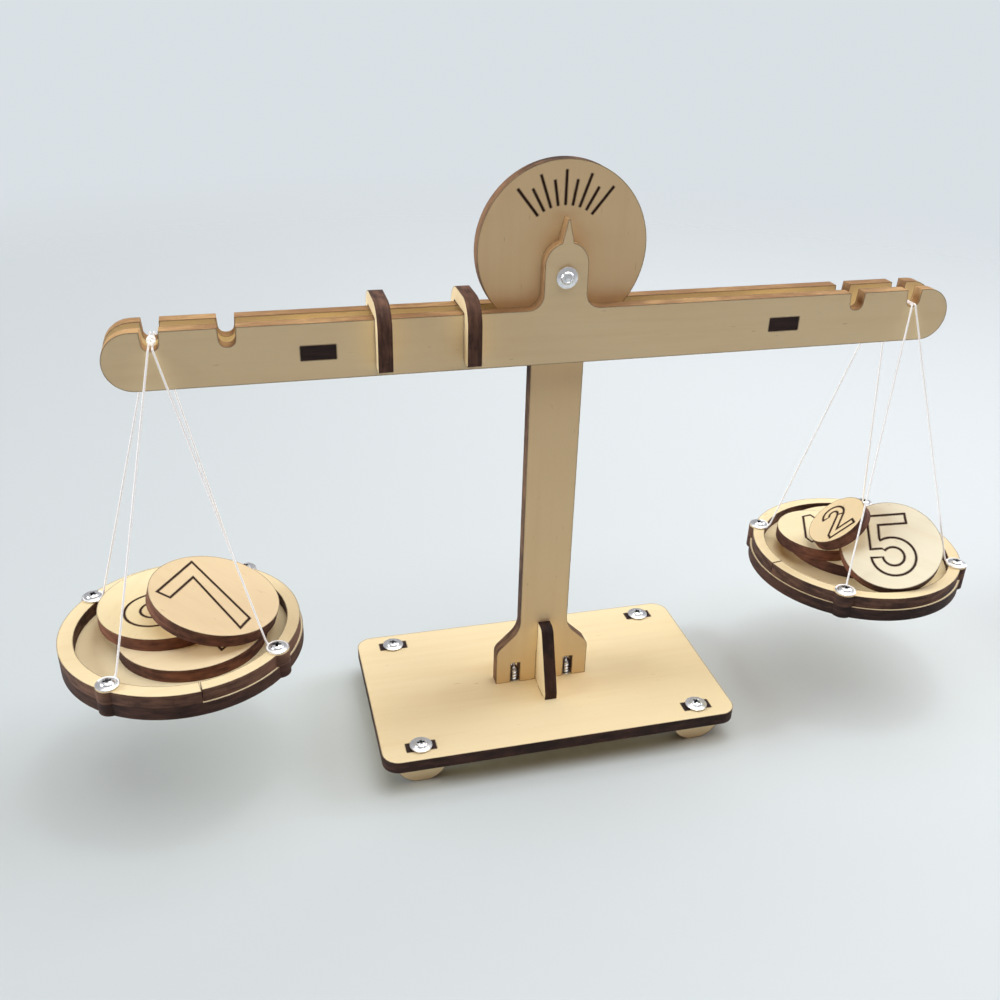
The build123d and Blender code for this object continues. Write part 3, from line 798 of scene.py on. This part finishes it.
class BALANCE_OT_knots(bpy.types.Operator):
    """Ties the knot between the beam's plates and winds the thread under each pan screw"""

    bl_idname = "balance.knots"
    bl_label = "Knots and windings"

    def wound(self, name, radius, turns, rise, settings):
        """A coil of thread about Z, from a small circle and a screw modifier."""
        deselect_all()
        bpy.ops.mesh.primitive_circle_add(
            vertices=10, radius=settings.thread_diameter / 2, fill_type="NOTHING",
            location=(0, 0, 0))
        coil = bpy.context.object
        coil.name = name
        bpy.ops.object.mode_set(mode="EDIT")
        bpy.ops.mesh.select_all(action="SELECT")
        bpy.ops.transform.rotate(
            value=math.pi / 2, orient_axis="X", center_override=(0, 0, 0))
        bpy.ops.transform.translate(value=(radius, 0, -rise / 2))
        bpy.ops.object.mode_set(mode="OBJECT")
        screw_up(coil, turns, rise, round(turns * 24), 16)
        bpy.ops.object.shade_smooth_by_angle(angle=math.radians(60))
        return coil

    def execute(self, context):
        settings = context.scene.balance_sizes
        material = bpy.data.materials["white_thread"]
        patterns = {name: self.wound(name, *shape, settings) for name, shape in COILS.items()}
        lengthwise = Matrix.Rotation(math.pi / 2, 4, "X")
        tilted = Matrix.Rotation(math.radians(BIGHT_TILT), 4, "Y")
        for side, sign in SIDES.items():
            made = []
            for corner, turn in PAN_SCREW_TURNS.items():
                place = screw_spot(side, corner)[0] + Vector((0, 0, WINDING_UP))
                round_screw = Matrix.Rotation(math.radians(turn + WINDING_TURN), 4, "Z")
                made.append(("winding", f"winding_{corner}", place, round_screw))
            centre = Vector((sign * NOTCH_X, 0, NOTCH_Z + KNOT_UP))
            made.append(("coil", "knot", centre, lengthwise))
            made.append(("lock", "knot_bight", centre + Vector((0, 0, BIGHT_UP)), tilted))
            for kind, name, place, facing in made:
                matrix = Matrix.Translation(place) @ facing
                place_copy(patterns[kind], f"{side}_pan_{name}", matrix, material,
                           f"{side}_pan", f"{side}_pan_yoke")
        drop_helpers(*patterns.values())
        return {"FINISHED"}


class BALANCE_OT_stage(bpy.types.Operator):
    """Lays the pale floor, paints the background and hangs the soft lamps"""

    bl_idname = "balance.stage"
    bl_label = "Stage"

    def lamp(self, context, name, place, aim, size, power, colour):
        light = bpy.data.lights.new(name, "AREA")
        light.shape = "DISK"
        light.size = size
        light.energy = power
        light.color = colour
        holder = bpy.data.objects.new(name, light)
        context.scene.collection.objects.link(holder)
        holder.location = place
        holder.rotation_euler = (Vector(aim) - Vector(place)).to_track_quat("-Z", "Y").to_euler()

    def execute(self, context):
        studio = context.scene.balance_studio
        deselect_all()
        bpy.ops.mesh.primitive_circle_add(
            vertices=96, radius=FLOOR_RADIUS, fill_type="NGON", location=(0, 0, 0))
        floor = bpy.context.object
        floor.name = "floor"
        bpy.ops.object.mode_set(mode="EDIT")
        bpy.ops.mesh.select_all(action="SELECT")
        bpy.ops.transform.translate(value=(0, 0, -FLOOR_DROP))
        bpy.ops.object.mode_set(mode="OBJECT")
        material, recipe = new_material("pale_floor")
        spot = Term(recipe, recipe.node("ShaderNodeTexCoord").outputs["Object"])
        reach = recipe.term("ShaderNodeVectorMath", {"operation": "LENGTH"}, {0: spot}, "Value")
        fade = recipe.ease(reach, *FLOOR_FADE)
        clouds = recipe.noise(spot, 9.0, 2.0)
        # Painted light: the floor runs from a darker colour at the left to a paler one at the
        # right, standing in for light that falls unevenly
        painted_light = recipe.ease(recipe.along(spot, (1, 0.15, 0)), *FLOOR_PAINTED_LIGHT_SPAN)
        colour = recipe.blend(painted_light, studio.floor, studio.floor_lit_right)
        colour = recipe.blend(clouds * 0.05, colour, FLOOR_CLOUD)
        surface = recipe.node("ShaderNodeBsdfPrincipled", None, {
            "Base Color": colour, "Roughness": 0.7, "Specular IOR Level": 0.2})
        clear = recipe.node("ShaderNodeBsdfTransparent")
        mix = recipe.node("ShaderNodeMixShader", None, {
            0: fade, 1: Term(recipe, surface.outputs[0]), 2: Term(recipe, clear.outputs[0])})
        target = recipe.node("ShaderNodeOutputMaterial")
        recipe.tree.links.new(mix.outputs[0], target.inputs[0])
        floor.data.materials.append(material)

        for name, (power, place, aim, size, shade) in LAMPS.items():
            self.lamp(context, name, place, aim, size, getattr(studio, power), shade)

        world = bpy.data.worlds.new("studio_room")
        context.scene.world = world
        world.use_nodes = True
        room = Recipe(world.node_tree)
        path = room.node("ShaderNodeLightPath")
        seen = room.term("ShaderNodeMath", {"operation": "MAXIMUM"}, {
            0: Term(room, path.outputs["Is Camera Ray"]),
            1: Term(room, path.outputs["Is Glossy Ray"]) * 0.6})
        shown = room.node("ShaderNodeBackground", None, {"Color": studio.backdrop, "Strength": 1.0})
        glow = room.node("ShaderNodeBackground", None, {
            "Color": ROOM_GLOW, "Strength": studio.sky})
        both = room.node("ShaderNodeMixShader", None, {
            0: seen, 1: Term(room, glow.outputs[0]), 2: Term(room, shown.outputs[0])})
        output = room.node("ShaderNodeOutputWorld")
        room.tree.links.new(both.outputs[0], output.inputs[0])
        context.scene.view_settings.view_transform = "Standard"
        return {"FINISHED"}


class BALANCE_OT_plywood(bpy.types.Operator):
    """Finishes every cut sheet in pale plywood with burnt edges"""

    bl_idname = "balance.plywood"
    bl_label = "Plywood sheets"

    def execute(self, context):
        colours = context.scene.balance_colours
        wooden = [name for name, node in sorted(frame["nodes"].items())
                  if node.material_slots[0].material.name.startswith("plywood")]
        for seed, name in enumerate(wooden):
            node = frame["nodes"][name]
            material = plywood(name, node, colours, seed)
            for place in node.material_slots:
                place.link = "OBJECT"
                place.material = material
        return {"FINISHED"}


class BALANCE_OT_screws(bpy.types.Operator):
    """Drives the washer-head screws into the feet, post, pivot and pans"""

    bl_idname = "balance.screws"
    bl_label = "Washer-head screws"

    def execute(self, context):
        settings = context.scene.balance_sizes
        material = steel(context.scene.balance_colours)
        heads = {
            "foot": settings.foot_head_diameter, "post": settings.pan_head_diameter,
            "pivot": settings.pivot_head_diameter, "pan": settings.pan_head_diameter,
        }
        patterns = {
            kind: screw_pattern("pattern_" + kind, settings, head, SCREW_LENGTHS[kind],
                                crossed=kind != "pivot")
            for kind, head in heads.items()}
        for index, (kind, name, place, body, node) in enumerate(screw_places()):
            matrix = Matrix.Translation(place)
            if kind == "post":
                matrix = matrix @ Matrix.Rotation(math.pi, 4, "X")
            if kind == "pivot":
                matrix = matrix @ Matrix.Rotation(math.pi / 2, 4, "X")
            matrix = matrix @ Matrix.Rotation(math.radians(SCREW_TURN * index), 4, "Z")
            place_copy(patterns[kind], name, matrix, material, body, node)
        drop_helpers(*patterns.values())
        return {"FINISHED"}


class BALANCE_PT_panel(bpy.types.Panel):
    """The balance's sizes, colours and making steps"""

    bl_idname = "BALANCE_PT_panel"
    bl_label = "Math balance"
    bl_space_type = "VIEW_3D"
    bl_region_type = "UI"
    bl_category = "Math balance"

    def draw(self, context):
        for group in ("balance_sizes", "balance_colours", "balance_studio"):
            holder = getattr(context.scene, group)
            box = self.layout.box()
            for name in holder.__annotations__:
                box.prop(holder, name)
        for step in STEPS:
            self.layout.operator(step.bl_idname)


GROUPS = {
    "balance_sizes": BalanceSizes,
    "balance_colours": BalanceColours,
    "balance_studio": StudioSettings,
}
STEPS = (
    BALANCE_OT_camera, BALANCE_OT_threads, BALANCE_OT_knots, BALANCE_OT_screws,
    BALANCE_OT_plywood, BALANCE_OT_stage,
)


def register():
    for name, group in GROUPS.items():
        bpy.utils.register_class(group)
        setattr(bpy.types.Scene, name, bpy.props.PointerProperty(type=group))
    for step in STEPS:
        bpy.utils.register_class(step)
    bpy.utils.register_class(BALANCE_PT_panel)


def unregister():
    bpy.utils.unregister_class(BALANCE_PT_panel)
    for step in reversed(STEPS):
        bpy.utils.unregister_class(step)
    for name, group in GROUPS.items():
        delattr(bpy.types.Scene, name)
        bpy.utils.unregister_class(group)


def main():
    register()
    bpy.ops.balance.camera()
    bpy.ops.balance.threads()
    bpy.ops.balance.knots()
    bpy.ops.balance.screws()
    bpy.ops.balance.plywood()
    bpy.ops.balance.stage()


if __name__ == "__main__":
    main()
